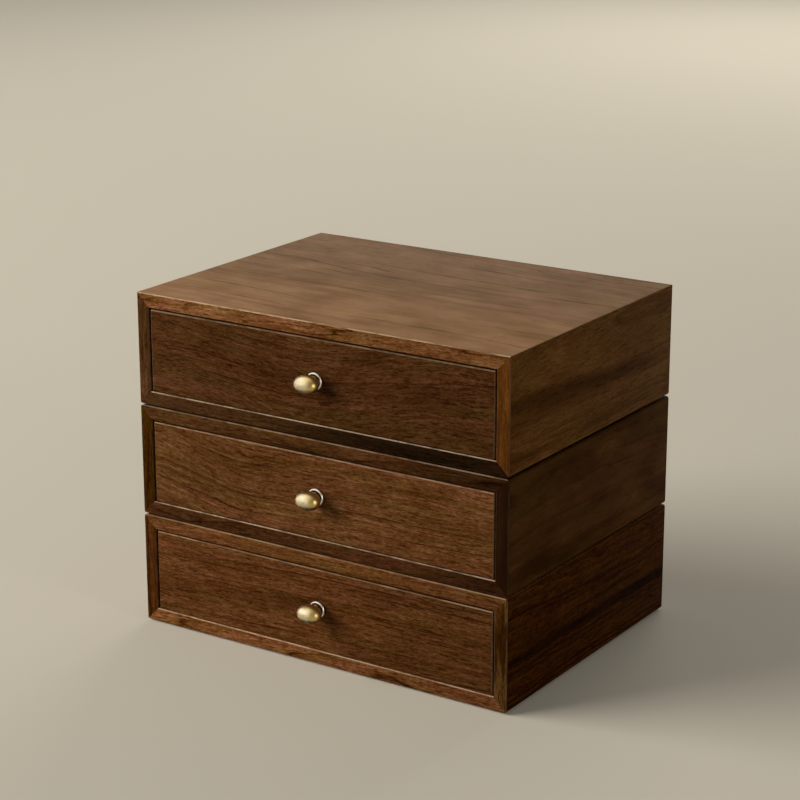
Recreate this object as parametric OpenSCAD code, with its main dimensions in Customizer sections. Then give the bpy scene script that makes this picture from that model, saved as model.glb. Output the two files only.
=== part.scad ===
// Desktop mini drawers: three equal walnut boxes, one drawer in each, standing on one another.
// Each box is four boards mitred round the opening, with a back panel let in flush at the rear.
// Each drawer has half-blind dovetails at the front, through dovetails at the back, a bottom
// panel slid into grooves, and an oval brass knob on a beaded rosette.
//
// Millimetres. X runs across the fronts, Y from front to back and Z up. The origin is at the
// centre of the footprint, knobs included, on the surface that the lowest pads stand on.
// Every board is drawn in the frame of its own box: X = 0 at the middle of the width, Y = 0 on
// the front of the case and Z = 0 on the underside of the case.

/* [Case] */
// Width of a box
case_w = 300; // [260:5:340]
// Depth of a box, from front to back
case_d = 220; // [190:5:260]
// Height of a box without its pads
case_h = 80; // [76:1:100]
// Thickness of the four case boards
board_t = 10; // [9:0.5:12]
// Radius along the long outer edges of a box
edge_r = 2.5; // [1:0.1:3]
// Radius along the two crown edges of the upper box
crown_r = 0.8; // [0.7:0.1:3]
// Chamfer that eases the front and rear arrises
arris = 0.6; // [0.3:0.1:0.6]
// Thickness of the back panel
back_panel_t = 6; // [4:0.5:8]
// Depth of the rebate that the back panel is let into
rebate = 5; // [3:0.5:6]

/* [Mitre splines] */
// Width of a spline, measured across its mitre
spline_w = 8; // [5:0.5:8.5]
// Thickness of a spline
spline_t = 1.5; // [1:0.1:2]
// Distance from the front and from the back panel to the ends of a spline
spline_stop = 15; // [10:1:40]

/* [Felt pads] */
// Diameter of a pad
pad_d = 10; // [8:1:14]
// Thickness of a pad, which is the gap between two boxes
pad_t = 1; // [0.6:0.1:2]
// Distance from the sides of a box to the centre of a pad
pad_inset = 15; // [12:1:40]

/* [Drawer] */
// How far the drawer fronts stand back from the front of the case
recess = 0.5; // [0.3:0.1:3]
// Gap beside a drawer front, on each side
side_gap = 1.2; // [0.8:0.1:2]
// Gap above a drawer front
gap_above = 1.2; // [0.8:0.1:2]
// Gap below a drawer front
gap_below = 0.3; // [0.2:0.1:1]
// Gap between the back of a drawer and the back panel
rear_gap = 1; // [0.5:0.5:5]
// Thickness of a drawer front
front_t = 12; // [11:0.5:14]
// Thickness of the drawer sides and back
side_t = 8; // [7:0.5:9]
// How much lower the drawer sides are than the opening
side_drop = 4; // [3:1:8]
// Thickness of the drawer bottom
bottom_t = 3; // [3:0.5:4]
// Height of the drawer bottom above the underside of the sides
bottom_rise = 7; // [6.5:0.5:8]
// Depth of the grooves that hold the drawer bottom
groove = 4; // [3:0.5:4.5]

/* [Dovetails] */
// Solid wood left in front of the half-blind tails
lap = 4; // [3:0.5:5]
// Share of the joint's height that the roots of the tails take up
tail_share = 0.6; // [0.5:0.02:0.66]
// Run of the tail's flank for each unit of its flare
tail_slope = 6; // [5:1:8]

/* [Knob] */
// Length of the oval, across the drawer front
oval_w = 18; // [16:0.2:20]
// Greatest diameter of the oval
oval_d = 13; // [12:0.2:14]
// Distance from the drawer front to the centre of the oval
oval_reach = 10.4; // [10:0.1:14]
// Diameter of the rosette
rosette_d = 12.4; // [12:0.1:16]
// Diameter of the rosette's rounded rim
bead_d = 2.2; // [1.6:0.1:2.4]

/* [Hidden] */

// The three boxes, counted from the surface up
lower = 0;
middle = 1;
upper = 2;

// Length by which a cutting tool overshoots the face it cuts through
over = 1;

// Opening of a case
open_w = case_w - 2 * board_t;
open_h = case_h - 2 * board_t;
open_d = case_d - back_panel_t;

// Drawer box, outside: the sides slide on the case bottom
drawer_w = open_w - 2 * side_gap;
front_h = open_h - gap_above - gap_below;
side_h = open_h - side_drop;
floor_z = board_t;
front_y0 = recess;
front_y1 = recess + front_t;
rear_y1 = open_d - rear_gap;
rear_y0 = rear_y1 - side_t;
side_x0 = drawer_w / 2 - side_t;

// Drawer bottom, held in the grooves and fixed up into the back
bottom_z0 = floor_z + bottom_rise;
bottom_z1 = bottom_z0 + bottom_t;

// Dovetails: two tails at each corner, centred in equal halves of the joint's height
tail_count = 2;
front_tail_len = front_t - lap;
back_h = side_h - bottom_rise - bottom_t;

// Spline: centred a little outside the middle of the mitre
spline_depth = 0.56 * board_t;
spline_len = open_d - 2 * spline_stop;

// Knob screw: an M4 pan head from inside the drawer
screw_r = 2;
thread_r = 2.05;
shank_hole_r = 2.25;
pan_r = 4;
pan_h = 2.4;
slot_w = 1;
slot_depth = 1.2;
rosette_floor = 1;
thread_depth = 8.5;
screw_engagement = 7;
knob_z = case_h / 2;

// Neck of the knob: a foot just inside the rosette's rim, and a cove that ends inside the oval
foot_gap = 0.2;
neck_r = rosette_d / 2 - bead_d - foot_gap;
neck_end = oval_reach - 4.5;
cove_r = 3.4;
cove_z = (rosette_floor + oval_reach - oval_d / 2) / 2 + 0.6;
waist_r = 3.1;

// Countersunk screws under the drawer bottom
cs_head_r = 3.4;
cs_head_h = 2;
cs_shank_r = 1.6;
cs_len = 14;
cs_x = drawer_w / 4;

// How far the knobs stand out in front of the case, and the case front that centres it all
knob_reach = oval_reach + oval_d / 2 - recess;
case_front_y = -(case_d - knob_reach) / 2;

case_colours = ["#7a5133", "#5c412c", "#84562f"];
front_colours = ["#6b4530", "#7b5a34", "#5f4331"];

function level_z(level) = pad_t + level * (case_h + pad_t);
function crown(level) = level == upper ? crown_r : edge_r;

// ---- frames and generic solids ----

// Moves a box's own frame to its place in the stack
module at_level(level) {
  translate([0, case_front_y, level_z(level)]) children();
}

// Extrudes an (x, z) outline along +Y
module along_y(length) {
  translate([0, length, 0]) rotate([90, 0, 0]) linear_extrude(length) children();
}

// Extrudes a (y, z) outline along +X
module along_x(length) {
  rotate([90, 0, 90]) linear_extrude(length) children();
}

// Turns a (radius, height) outline about a line along -Y that starts on the drawer front
module knob_turned() {
  translate([0, front_y0, knob_z]) rotate([90, 0, 0]) rotate_extrude($fn = 64) children();
}

// Rectangle centred on X with two chamfers at its low end and two at its high end
module chamfered_plan(w, d, low, high) {
  polygon([
    [-w / 2 + low, 0], [w / 2 - low, 0], [w / 2, low], [w / 2, d - high],
    [w / 2 - high, d], [-w / 2 + high, d], [-w / 2, d - high], [-w / 2, low]
  ]);
}

// ---- case ----

// Cross-section of a case from the front, with its rounded long edges
module case_section(r_low, r_high) {
  difference() {
    translate([-case_w / 2, 0]) square([case_w, case_h]);
    for (s = [-1, 1]) {
      translate([s * case_w / 2, 0]) square(2 * r_low, center = true);
      translate([s * case_w / 2, case_h]) square(2 * r_high, center = true);
    }
  }
  for (s = [-1, 1]) {
    translate([s * (case_w / 2 - r_low), r_low]) circle(r_low, $fn = 48);
    translate([s * (case_w / 2 - r_high), case_h - r_high]) circle(r_high, $fn = 48);
  }
}

// Outline of the top board between its two mitres; mirrored for the bottom board
module flat_board_outline() {
  polygon([
    [-case_w / 2, case_h], [case_w / 2, case_h],
    [open_w / 2, case_h - board_t], [-open_w / 2, case_h - board_t]
  ]);
}

// Outline of the right board between its two mitres; mirrored for the left board
module upright_board_outline() {
  polygon([
    [case_w / 2, 0], [case_w / 2, case_h],
    [open_w / 2, case_h - board_t], [open_w / 2, board_t]
  ]);
}

// Chamfered block that eases the front and rear arrises of whatever it is intersected with
module eased_block() {
  linear_extrude(case_h) chamfered_plan(case_w, case_d, arris, arris);
}

module eased_profile() {
  translate([-case_w / 2, 0, case_h / 2]) along_x(case_w)
    rotate(-90) chamfered_plan(case_h, case_d, arris, arris);
}

// Flared mouth that eases the inner front arris of the opening
module mouth() {
  half_w = open_w / 2;
  flare = arris + over;
  intersection() {
    linear_extrude(case_h) polygon([
      [-half_w - flare, -over], [half_w + flare, -over], [half_w, arris], [-half_w, arris]
    ]);
    translate([-case_w / 2, 0, 0]) along_x(case_w) polygon([
      [-over, board_t - flare], [arris, board_t],
      [arris, case_h - board_t], [-over, case_h - board_t + flare]
    ]);
  }
}

// Space of the back panel, in the rebate
module back_panel_space(extra) {
  translate([-open_w / 2 - rebate, open_d, board_t - rebate])
    cube([open_w + 2 * rebate, back_panel_t + extra, open_h + 2 * rebate]);
}

// Splines across the four mitres, set square to each joint and stopped at both ends
module splines() {
  for (sx = [-1, 1], sz = [-1, 1])
    translate([sx * (case_w / 2 - spline_depth), open_d / 2,
               case_h / 2 + sz * (case_h / 2 - spline_depth)])
      rotate([0, sx * sz * 45, 0]) cube([spline_w, spline_len, spline_t], center = true);
}

// One case board: its outline within the rounded section, eased, rebated and slotted
module case_board(level) {
  difference() {
    intersection() {
      along_y(case_d) intersection() {
        case_section(edge_r, crown(level));
        children();
      }
      eased_block();
      eased_profile();
    }
    mouth();
    back_panel_space(over);
    splines();
  }
}

module case_top(level) {
  color(case_colours[level]) at_level(level) case_board(level) flat_board_outline();
}

module case_bottom(level) {
  color(case_colours[level]) at_level(level) case_board(level)
    translate([0, case_h]) mirror([0, 1]) flat_board_outline();
}

module case_right(level) {
  color(case_colours[level]) at_level(level) case_board(level) upright_board_outline();
}

module case_left(level) {
  color(case_colours[level]) at_level(level) case_board(level)
    mirror([1, 0]) upright_board_outline();
}

module case_back(level) {
  color("#5a3d29") at_level(level) back_panel_space(0);
}

module mitre_splines(level) {
  color("#c9a877") at_level(level) splines();
}

module felt_pads(level) {
  color("#3b3a38") at_level(level)
    for (x = [-1, 1] * (case_w / 2 - pad_inset), y = [pad_inset, case_d - pad_inset])
      translate([x, y, -pad_t]) cylinder(d = pad_d, h = pad_t, $fn = 48);
}

// ---- drawer ----

// Outline of one tail in (y, z), pointing along +Y from its root line at y = 0
module tail(root_w, length) {
  flare = length / tail_slope;
  polygon([
    [0, -root_w / 2], [length, -root_w / 2 - flare],
    [length, root_w / 2 + flare], [0, root_w / 2]
  ]);
}

// Row of tails that share the height h of a joint from z0 up
module tails(z0, h, length) {
  for (i = [0:tail_count - 1])
    translate([0, z0 + (i + 0.5) * h / tail_count])
      tail(tail_share * h / tail_count, length);
}

// Tails on the front end of a side, and on its rear end, both in (y, z)
module front_tails() {
  translate([front_y1, 0]) mirror([1, 0]) tails(floor_z, side_h, front_tail_len);
}

module rear_tails() {
  translate([rear_y0, 0]) tails(bottom_z1, back_h, side_t);
}

// Right side: the strip below the back runs through to the rear
module side_board() {
  difference() {
    translate([side_x0, 0, 0]) along_x(side_t) {
      translate([front_y1, floor_z]) square([rear_y0 - front_y1, side_h]);
      translate([rear_y0 - over, floor_z])
        square([side_t + over, bottom_rise + bottom_t]);
      front_tails();
      rear_tails();
    }
    translate([side_x0 - over, front_y0 + lap - over, bottom_z0])
      cube([groove + over, rear_y1 - front_y0 - lap + 2 * over, bottom_t]);
  }
}

module drawer_right_side(level) {
  color("#d9bd8e") at_level(level) side_board();
}

module drawer_left_side(level) {
  color("#d9bd8e") at_level(level) mirror([1, 0, 0]) side_board();
}

// Front: eased edges on the show face, blind sockets at the ends, a groove and the knob's hole
module drawer_front(level) {
  color(front_colours[level]) at_level(level) difference() {
    intersection() {
      translate([0, front_y0, 0]) linear_extrude(case_h)
        chamfered_plan(drawer_w, front_t, arris, 0);
      translate([-drawer_w / 2, front_y0, floor_z + gap_below + front_h / 2])
        along_x(drawer_w) rotate(-90) chamfered_plan(front_h, front_t, arris, 0);
    }
    for (m = [0, 1])
      mirror([m, 0, 0]) translate([side_x0, 0, 0]) along_x(side_t + over) {
        front_tails();
        translate([front_y1, floor_z]) square([over, side_h]);
      }
    translate([-side_x0, front_y1 - groove, bottom_z0])
      cube([2 * side_x0, groove + over, bottom_t]);
    translate([0, front_y0 - over, knob_z]) rotate([-90, 0, 0])
      cylinder(r = shank_hole_r, h = front_t + 2 * over, $fn = 32);
  }
}

// Back: pins at its ends between the tails of the sides, standing on the drawer bottom
module drawer_back(level) {
  color("#d2b686") at_level(level) difference() {
    translate([-drawer_w / 2, rear_y0, bottom_z1]) cube([drawer_w, side_t, back_h]);
    for (m = [0, 1])
      mirror([m, 0, 0]) translate([side_x0, 0, 0]) along_x(side_t + over) {
        rear_tails();
        translate([rear_y0 - over, bottom_z1]) square([over, back_h]);
      }
    bottom_screw_solids();
  }
}

module drawer_bottom(level) {
  color("#e0c79b") at_level(level) difference() {
    translate([-side_x0 - groove, front_y1 - groove, bottom_z0])
      cube([2 * (side_x0 + groove), rear_y1 - front_y1 + groove, bottom_t]);
    bottom_screw_solids();
  }
}

// Two countersunk screws up through the drawer bottom into the back
module bottom_screw_solids() {
  for (x = [-cs_x, cs_x])
    translate([x, (rear_y0 + rear_y1) / 2, bottom_z0]) {
      cylinder(r1 = cs_head_r, r2 = cs_shank_r, h = cs_head_h, $fn = 32);
      cylinder(r = cs_shank_r, h = cs_len, $fn = 32);
    }
}

module bottom_screws(level) {
  color("#b9a36a") at_level(level) bottom_screw_solids();
}

// ---- knob ----

// Half outline of the oval: a barrel arc between two end circles that it meets smoothly
module oval_outline() {
  end_r = 0.4 * oval_d;
  end_x = oval_w / 2 - end_r;
  waist = oval_d / 2 - end_r;
  side_r = (end_x * end_x + waist * waist) / (2 * waist) + end_r;
  tangent_x = side_r * end_x / (side_r - end_r);
  intersection() {
    union() {
      intersection() {
        translate([oval_d / 2 - side_r, 0]) circle(side_r, $fn = 96);
        square([oval_d, 2 * tangent_x], center = true);
      }
      for (s = [-1, 1]) translate([0, s * end_x]) circle(end_r, $fn = 64);
    }
    translate([0, -oval_w]) square([oval_d, 2 * oval_w]);
  }
}

// Turned oval lying across the front, on a waisted neck tapped for the screw
module knob(level) {
  color("#c8a765") at_level(level) difference() {
    union() {
      translate([0, front_y0 - oval_reach, knob_z]) rotate([0, 90, 0])
        rotate_extrude($fn = 64) oval_outline();
      knob_turned() difference() {
        translate([0, rosette_floor]) square([neck_r, neck_end - rosette_floor]);
        translate([waist_r + cove_r, cove_z]) circle(cove_r, $fn = 64);
      }
    }
    knob_turned() translate([0, rosette_floor - over]) square([thread_r, thread_depth + over]);
  }
}

// Thin dished disc with a rounded rim
module knob_rosette(level) {
  color("#bd9a58") at_level(level) knob_turned() difference() {
    union() {
      square([(rosette_d - bead_d) / 2, rosette_floor]);
      translate([(rosette_d - bead_d) / 2, bead_d / 2]) circle(d = bead_d, $fn = 48);
    }
    translate([-over, -over]) square([shank_hole_r + over, bead_d + 2 * over]);
  }
}

module knob_screw(level) {
  color("#a9a9a6") at_level(level) translate([0, front_y1, knob_z]) rotate([-90, 0, 0])
    difference() {
      union() {
        cylinder(r = pan_r, h = pan_h, $fn = 48);
        translate([0, 0, -front_t - rosette_floor - screw_engagement])
          cylinder(r = screw_r, h = front_t + rosette_floor + screw_engagement + over, $fn = 48);
      }
      translate([-pan_r - over, -slot_w / 2, pan_h - slot_depth])
        cube([2 * (pan_r + over), slot_w, slot_depth + over]);
    }
}

case_top(lower);  // lower_case_top
case_bottom(lower);  // lower_case_bottom
case_left(lower);  // lower_case_left
case_right(lower);  // lower_case_right
case_back(lower);  // lower_case_back
mitre_splines(lower);  // lower_mitre_splines
felt_pads(lower);  // lower_felt_pads
drawer_front(lower);  // lower_drawer_front
drawer_left_side(lower);  // lower_drawer_left_side
drawer_right_side(lower);  // lower_drawer_right_side
drawer_back(lower);  // lower_drawer_back
drawer_bottom(lower);  // lower_drawer_bottom
bottom_screws(lower);  // lower_bottom_screws
knob(lower);  // lower_knob
knob_rosette(lower);  // lower_knob_rosette
knob_screw(lower);  // lower_knob_screw

case_top(middle);  // middle_case_top
case_bottom(middle);  // middle_case_bottom
case_left(middle);  // middle_case_left
case_right(middle);  // middle_case_right
case_back(middle);  // middle_case_back
mitre_splines(middle);  // middle_mitre_splines
felt_pads(middle);  // middle_felt_pads
drawer_front(middle);  // middle_drawer_front
drawer_left_side(middle);  // middle_drawer_left_side
drawer_right_side(middle);  // middle_drawer_right_side
drawer_back(middle);  // middle_drawer_back
drawer_bottom(middle);  // middle_drawer_bottom
bottom_screws(middle);  // middle_bottom_screws
knob(middle);  // middle_knob
knob_rosette(middle);  // middle_knob_rosette
knob_screw(middle);  // middle_knob_screw

case_top(upper);  // upper_case_top
case_bottom(upper);  // upper_case_bottom
case_left(upper);  // upper_case_left
case_right(upper);  // upper_case_right
case_back(upper);  // upper_case_back
mitre_splines(upper);  // upper_mitre_splines
felt_pads(upper);  // upper_felt_pads
drawer_front(upper);  // upper_drawer_front
drawer_left_side(upper);  // upper_drawer_left_side
drawer_right_side(upper);  // upper_drawer_right_side
drawer_back(upper);  // upper_drawer_back
drawer_bottom(upper);  // upper_drawer_bottom
bottom_screws(upper);  // upper_bottom_screws
knob(upper);  // upper_knob
knob_rosette(upper);  // upper_knob_rosette
knob_screw(upper);  // upper_knob_screw
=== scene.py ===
"""Looks of the desktop mini drawers: oiled walnut, pale drawer boxes, brass and a stage."""

import math

import bmesh
import bpy
from mathutils import Euler, Matrix, Vector


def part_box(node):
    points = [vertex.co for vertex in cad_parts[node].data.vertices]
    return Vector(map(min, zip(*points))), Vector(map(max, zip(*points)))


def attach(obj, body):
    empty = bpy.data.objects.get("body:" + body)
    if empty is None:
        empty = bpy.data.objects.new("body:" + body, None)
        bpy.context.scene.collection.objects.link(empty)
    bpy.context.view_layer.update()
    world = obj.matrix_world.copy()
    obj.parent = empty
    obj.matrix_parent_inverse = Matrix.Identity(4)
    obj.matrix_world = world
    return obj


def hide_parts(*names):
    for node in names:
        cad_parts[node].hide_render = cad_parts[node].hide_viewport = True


bl_info = {
    "name": "Desktop mini drawers",
    "version": (1, 0, 0),
    "blender": (4, 5, 0),
    "location": "3D View > Sidebar > Mini drawers",
    "description": "Dresses three stacked walnut boxes with drawers and sets their stage",
    "category": "Object",
}

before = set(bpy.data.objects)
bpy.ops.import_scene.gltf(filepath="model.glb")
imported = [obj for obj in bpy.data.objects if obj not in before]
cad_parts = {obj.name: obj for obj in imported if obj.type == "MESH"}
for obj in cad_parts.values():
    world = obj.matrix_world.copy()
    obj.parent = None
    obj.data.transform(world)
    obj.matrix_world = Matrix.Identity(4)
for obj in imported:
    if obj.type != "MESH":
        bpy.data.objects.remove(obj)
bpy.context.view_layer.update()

LEVELS = ("lower", "middle", "upper")
MM = 0.001


# --- Settings a user would change ---


class WalnutSettings(bpy.types.PropertyGroup):
    """Oiled walnut of the cases and the drawer fronts."""

    softness: bpy.props.FloatProperty(
        name="Arris softness", description="Width of the rounding sanded on every arris",
        subtype="DISTANCE", default=0.00022, min=0.00005, max=0.0006)


class DrawerWoodSettings(bpy.types.PropertyGroup):
    """Pale hardwood and plywood of the drawer boxes."""

    light: bpy.props.FloatVectorProperty(
        name="Light wood", description="Colour of the sides and the back", subtype="COLOR",
        size=3, min=0.0, max=1.0, default=(0.520, 0.360, 0.205))
    panel: bpy.props.FloatVectorProperty(
        name="Panel", description="Colour of the thin bottom panel", subtype="COLOR",
        size=3, min=0.0, max=1.0, default=(0.600, 0.405, 0.225))


class BrassSettings(bpy.types.PropertyGroup):
    """Satin brass of the knobs and their rosettes."""

    colour: bpy.props.FloatVectorProperty(
        name="Brass", description="Colour of the polished metal", subtype="COLOR",
        size=3, min=0.0, max=1.0, default=(0.820, 0.590, 0.220))
    # The polished colour also paints the highlight of the light on the oval's front and left end
    polished: bpy.props.FloatVectorProperty(
        name="Polished brass", description="Colour of the end that fingers keep bright",
        subtype="COLOR", size=3, min=0.0, max=1.0, default=(0.960, 0.830, 0.560))
    # The tarnish colour also paints the shade under the oval, down its neck and in the rosette's
    # dish
    tarnish_and_shade: bpy.props.FloatVectorProperty(
        name="Tarnish and shade", description="Colour where the metal has dulled", subtype="COLOR",
        size=3, min=0.0, max=1.0, default=(0.075, 0.042, 0.010))
    # The rosette's near-white colour is partly a painted highlight on its bead
    rosette: bpy.props.FloatVectorProperty(
        name="Rosette", description="Colour of the rosette's polished bead", subtype="COLOR",
        size=3, min=0.0, max=1.0, default=(0.980, 0.900, 0.800))


class KnobSettings(bpy.types.PropertyGroup):
    """Sizes of the oval knob that the solids leave open."""

    fillet: bpy.props.FloatProperty(
        name="Neck fillet", description="Radius where the oval runs into its neck",
        subtype="DISTANCE", default=0.0012, min=0.0004, max=0.003)
    rings: bpy.props.IntProperty(
        name="Sections", description="Number of sections along the oval", default=40,
        min=12, max=96)


class StageSettings(bpy.types.PropertyGroup):
    """Floor, lamps and viewpoint."""

    floor: bpy.props.FloatVectorProperty(
        name="Floor", description="Colour of the plain floor", subtype="COLOR", size=3,
        min=0.0, max=1.0, default=(0.510, 0.470, 0.385))
    paleness: bpy.props.FloatProperty(
        name="Floor paleness", description="How much paler the floor looks than it is lit",
        default=0.10, min=0.0, max=1.0)
    key: bpy.props.FloatProperty(
        name="Key lamp", description="Power of the soft lamp at the front left",
        subtype="POWER", default=302.0, min=0.0, max=2000.0)
    fill: bpy.props.FloatProperty(
        name="Fill lamp", description="Power of the small soft lamp at the right",
        subtype="POWER", default=10.0, min=0.0, max=500.0)
    back: bpy.props.FloatProperty(
        name="Back lamp", description="Power of the soft lamp behind the boxes",
        subtype="POWER", default=55.0, min=0.0, max=500.0)
    room: bpy.props.FloatProperty(
        name="Room light", description="Strength of the even light from all round",
        default=0.067, min=0.0, max=2.0)
    window: bpy.props.FloatProperty(
        name="Window light", description="Strength of the broad soft light from the upper left",
        default=0.084, min=0.0, max=3.0)
    backdrop: bpy.props.FloatProperty(
        name="Backdrop", description="How pale the room at the left looks in polished brass",
        default=1.05, min=0.0, max=2.0)


# --- Node helpers ---


class NodeBench:
    """Adds nodes to one tree and joins them."""

    def __init__(self, tree):
        self.tree = tree
        self.count = 0

    def node(self, kind, sockets=None, **settings):
        made = self.tree.nodes.new(kind)
        made.location = (180 * (self.count % 8), -220 * (self.count // 8))
        self.count += 1
        for key, value in settings.items():
            setattr(made, key, value)
        for key, value in (sockets or {}).items():
            self.set(made.inputs[key], value)
        return made

    def set(self, socket, value):
        if isinstance(value, bpy.types.NodeSocket):
            self.tree.links.new(value, socket)
        else:
            socket.default_value = value

    def math(self, operation, *values, clamp=False):
        made = self.node("ShaderNodeMath", operation=operation, use_clamp=clamp)
        for socket, value in zip(made.inputs, values):
            self.set(socket, value)
        return made.outputs[0]

    def vector(self, operation, *values):
        made = self.node("ShaderNodeVectorMath", operation=operation)
        for socket, value in zip(made.inputs, values):
            self.set(socket, value)
        return made.outputs[0]

    def noise(self, vector, detail=2.0, roughness=0.5):
        return self.node("ShaderNodeTexNoise", {
            "Vector": vector, "Scale": 1.0, "Detail": detail, "Roughness": roughness})

    def step(self, value, low, high, to_low=0.0, to_high=1.0):
        """Smooth step of value between low and high."""
        made = self.node("ShaderNodeMapRange", {
            0: value, 1: low, 2: high, 3: to_low, 4: to_high},
            interpolation_type="SMOOTHSTEP")
        return made.outputs[0]

    def mix(self, factor, a, b):
        made = self.node("ShaderNodeMix", data_type="RGBA")
        self.set(made.inputs[0], factor)
        self.set(made.inputs[6], a)
        self.set(made.inputs[7], b)
        return made.outputs[2]


def new_material(name):
    """Empty material and the bench for its nodes."""
    material = bpy.data.materials.new(name)
    material.use_nodes = True
    material.node_tree.nodes.clear()
    return material, NodeBench(material.node_tree)


def seen_ray(bench):
    """1 for the rays that show a surface to the camera or in polished brass, else 0."""
    rays = bench.node("ShaderNodeLightPath").outputs
    seen = bench.math("ADD", rays["Is Camera Ray"], rays["Is Glossy Ray"])
    return bench.math("ADD", seen, rays["Is Transmission Ray"], clamp=True)


def new_group(name, inputs, outputs):
    """Shader node group with (name, socket type, default) inputs and (name, type) outputs."""
    tree = bpy.data.node_groups.new(name, "ShaderNodeTree")
    for title, kind, default in inputs:
        socket = tree.interface.new_socket(title, in_out="INPUT", socket_type=kind)
        if default is not None:
            socket.default_value = default
    for title, kind in outputs:
        tree.interface.new_socket(title, in_out="OUTPUT", socket_type=kind)
    bench = NodeBench(tree)
    return bench, bench.node("NodeGroupInput"), bench.node("NodeGroupOutput")


# Share of the wood's colour that is left in its darkest figure
DARKEST = 0.12


def solid_wood_group():
    """Wood as a solid: growth rings round a pith that runs along X, fibres, pores and streaks."""
    name = "Solid wood"
    if name in bpy.data.node_groups:
        return bpy.data.node_groups[name]
    value, colour = "NodeSocketFloat", "NodeSocketColor"
    bench, given, out = new_group(name, [
        ("Vector", "NodeSocketVector", None), ("Seed", value, 0.0),
        ("Ring spacing", value, 0.0034), ("Wander", value, 0.02), ("Ripple", value, 1.2),
        ("Rings", value, 0.5), ("Lines", value, 0.5), ("Streaks", value, 0.3),
        ("Hue", value, 0.3), ("Mottle", value, 0.3), ("Fibre", value, 0.3), ("Pores", value, 0.4),
        ("Wood", colour, (0.2, 0.1, 0.05, 1)), ("Hue colour", colour, (0.1, 0.06, 0.02, 1)),
        ("Depth", value, 0.6), ("Warmth", value, 1.0), ("Roughness", value, 0.42),
    ], [("Colour", colour), ("Height", value), ("Roughness", value)])
    g = given.outputs
    seed = bench.vector("SCALE", (1.7, 3.1, 5.3))
    bench.set(seed.node.inputs["Scale"], g["Seed"])
    place = bench.vector("ADD", g["Vector"], seed)
    parts = bench.node("ShaderNodeSeparateXYZ", {0: g["Vector"]}).outputs

    # Each noise below is stretched along the grain; its numbers are cells to a metre.
    # The pith wanders slowly along the board, and the rings ripple round it
    slow = bench.noise(bench.vector("MULTIPLY", place, (4.5, 13.0, 13.0)), 2.0)
    wander = bench.vector("SUBTRACT", slow.outputs["Color"], (0.5, 0.5, 0.5))
    wander = bench.node("ShaderNodeSeparateXYZ", {0: wander}).outputs
    across = bench.math("MULTIPLY_ADD", wander[0], g["Wander"], parts[1])
    depth = bench.math("MULTIPLY_ADD", wander[1], g["Wander"], parts[2])
    radius = bench.math("SQRT", bench.math(
        "ADD", bench.math("MULTIPLY", across, across), bench.math("MULTIPLY", depth, depth)))
    ripple = bench.noise(bench.vector("MULTIPLY", place, (17.0, 120.0, 120.0)), 3.0, 0.6)
    ripple = bench.math("SUBTRACT", ripple.outputs["Fac"], 0.5)
    count = bench.math("DIVIDE", radius, g["Ring spacing"])
    count = bench.math("MULTIPLY_ADD", ripple, g["Ripple"], count)
    phase = bench.math("FRACT", count)
    which = bench.math("ADD", bench.math("FLOOR", count), g["Seed"])
    chance = bench.node("ShaderNodeTexWhiteNoise", {"W": which}, noise_dimensions="1D")
    chance = chance.outputs["Value"]
    ring = bench.math("MULTIPLY", bench.step(phase, 0.10, 0.86),
                      bench.step(phase, 0.88, 0.99, 1.0, 0.0))
    ring = bench.math("MULTIPLY", ring, bench.step(chance, 0.0, 1.0, 0.30, 1.0))

    # Thin dark lines follow some of the rings and fade in and out along them
    line = bench.math("MULTIPLY", bench.step(phase, 0.70, 0.81),
                      bench.step(phase, 0.83, 0.92, 1.0, 0.0))
    fade = bench.noise(bench.vector("MULTIPLY", place, (12.0, 80.0, 80.0)), 1.0).outputs["Fac"]
    line = bench.math("MULTIPLY", line, bench.step(fade, 0.40, 0.56))
    line = bench.math("MULTIPLY", line, bench.step(chance, 0.15, 0.60))

    # Broad streaks and bands of another hue lie along the rings
    lane = bench.node("ShaderNodeCombineXYZ", {
        0: bench.math("MULTIPLY", parts[0], 3.0), 1: bench.math("MULTIPLY", radius, 70.0),
        2: g["Seed"]}).outputs[0]
    lane = bench.noise(lane, 3.0, 0.55).outputs["Fac"]
    streak = bench.step(lane, 0.50, 0.66)
    band = bench.node("ShaderNodeCombineXYZ", {
        0: bench.math("MULTIPLY", parts[0], 9.0), 1: bench.math("MULTIPLY", radius, 190.0),
        2: bench.math("ADD", g["Seed"], 4.3)}).outputs[0]
    band = bench.step(bench.noise(band, 3.0, 0.6).outputs["Fac"], 0.38, 0.64)
    mottle = bench.noise(bench.vector("MULTIPLY", place, (26.0, 42.0, 42.0)), 3.0).outputs["Fac"]
    mottle = bench.math("SUBTRACT", mottle, 0.5)

    # Coarse and fine fibres, and open pores, drawn out along the grain
    coarse = bench.noise(bench.vector("MULTIPLY", place, (58.0, 540.0, 540.0)), 3.0, 0.6)
    fine = bench.noise(bench.vector("MULTIPLY", place, (300.0, 1250.0, 1250.0)), 3.0, 0.7)
    fibre = bench.math("ADD", bench.math("MULTIPLY", coarse.outputs["Fac"], 0.38),
                       bench.math("MULTIPLY", fine.outputs["Fac"], 0.62))
    fibre = bench.math("SUBTRACT", fibre, 0.5)
    pore = bench.noise(bench.vector("MULTIPLY", place, (105.0, 980.0, 980.0)), 1.0, 0.5)
    pore = bench.step(pore.outputs["Fac"], 0.54, 0.64)
    early = bench.step(phase, 0.2, 0.75, 1.0, 0.35)
    pore = bench.math("MULTIPLY", pore, early)

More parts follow.
